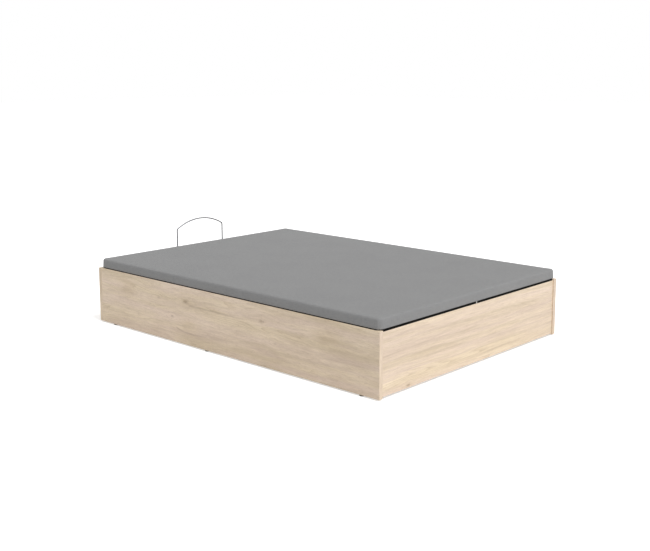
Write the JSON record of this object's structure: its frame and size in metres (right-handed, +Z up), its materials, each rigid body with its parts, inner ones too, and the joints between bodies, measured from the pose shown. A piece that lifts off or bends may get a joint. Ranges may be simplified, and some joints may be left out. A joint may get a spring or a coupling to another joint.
{
  "type": "lift-up storage bed base",
  "caption": "Lift-up storage bed base: low oak laminate box with a padded grey lid on coupled lifting links, gas springs and a mattress arch at the head.",
  "frame": {"origin": "on the floor under the middle of the box, lid closed", "axes": "+Z up, +Y towards the head end, X across the bed"},
  "size_m": [1.35, 1.9, 0.4735],
  "materials": {
    "oak_laminate": "printed oak laminate, satin",
    "pine": "planed softwood",
    "hardboard": "pale faced hardboard",
    "chipboard": "raw chipboard",
    "lid_fabric": "grey breathable fabric over foam",
    "frame_steel": "black powder coat",
    "hinge_steel": "dark grey powder coat",
    "zinc_steel": "zinc plated",
    "arch_chrome": "bright nickel plate",
    "black_plastic": "moulded",
    "white_plastic": "moulded nylon",
    "rubber": "moulded"
  },
  "bodies": {
    "box": {"side_panel_left": "oak_laminate", "side_panel_right": "oak_laminate", "foot_panel": "oak_laminate", "head_panel": "oak_laminate", "ledger_left": "pine", "ledger_right": "pine", "ledger_foot": "pine", "ledger_head": "pine", "centre_beam": "pine", "floor_sheet_foot": "hardboard", "floor_sheet_head": "hardboard", "floor_joiner": "white_plastic", "foot_lid_rest": "white_plastic", "glides": "black_plastic", "centre_feet": "black_plastic", "rim_strip_left": "rubber", "rim_strip_right": "rubber", "foot_strip_left": "rubber", "foot_strip_right": "rubber", "corner_angles": "zinc_steel", "corner_screws": "zinc_steel", "hinge_plate_screws": "zinc_steel", "rear_pivot_pins": "zinc_steel", "front_pivot_pins": "zinc_steel", "strut_foot_pins": "zinc_steel", "hinge_plate_left": "hinge_steel", "hinge_plate_right": "hinge_steel"},
    "lid": {"lid_rail_left": "frame_steel", "lid_rail_right": "frame_steel", "lid_rail_foot": "frame_steel", "lid_rail_head": "frame_steel", "lid_cross_rail_1": "frame_steel", "lid_cross_rail_2": "frame_steel", "lid_cross_rail_3": "frame_steel", "lid_cross_rail_4": "frame_steel", "lid_board": "chipboard", "lid_cover": "lid_fabric", "lid_bracket_left": "hinge_steel", "lid_bracket_right": "hinge_steel", "lid_bracket_bolts": "zinc_steel", "lift_pivot_pins": "zinc_steel", "hanger_pivot_pins": "zinc_steel", "arch_bolts": "zinc_steel", "mattress_arch": "arch_chrome", "arch_clamps": "black_plastic"},
    "rear_links": {"rear_link_left": "hinge_steel", "rear_link_right": "hinge_steel"},
    "front_links": {"front_link_left": "hinge_steel", "front_link_right": "hinge_steel"},
    "gas_cylinders": {"gas_cylinder_left": "frame_steel", "gas_cylinder_right": "frame_steel", "gas_cylinder_eyes": "zinc_steel"},
    "gas_rods": {"gas_rod_left": "arch_chrome", "gas_rod_right": "arch_chrome", "gas_rod_eyes": "zinc_steel"}
  },
  "joints": [
    {"name": "lid_tilt", "type": "hinge", "parent": "rear_links", "child": "lid", "pos_m": [0, 0.78, 0.246], "axis": [-1, 0, 0], "range_deg": [0, 98.1]},
    {"name": "rear_link_swing", "type": "hinge", "parent": "box", "child": "rear_links", "pos_m": [0, 0.635, 0.239], "axis": [1, 0, 0], "range_deg": [0, 56.2]},
    {"name": "front_link_swing", "type": "hinge", "parent": "box", "child": "front_links", "pos_m": [0, 0.424, 0.123], "axis": [1, 0, 0], "range_deg": [0, 32.87]},
    {"name": "gas_cylinder_swing", "type": "hinge", "parent": "box", "child": "gas_cylinders", "pos_m": [0, 0.642, 0.094], "axis": [1, 0, 0], "range_deg": [0, 28.15]},
    {"name": "gas_rod_swing", "type": "hinge", "parent": "rear_links", "child": "gas_rods", "pos_m": [0, 0.78, 0.246], "axis": [-1, 0, 0], "range_deg": [0, 28.15]}
  ],
  "couplings": [
    {"joint": "rear_link_swing", "follows": "lid_tilt", "ratio": 0.57187},
    {"joint": "front_link_swing", "follows": "lid_tilt", "ratio": 0.33402},
    {"joint": "gas_cylinder_swing", "follows": "lid_tilt", "ratio": 0.28593},
    {"joint": "gas_rod_swing", "follows": "lid_tilt", "ratio": 0.28593}
  ]
}
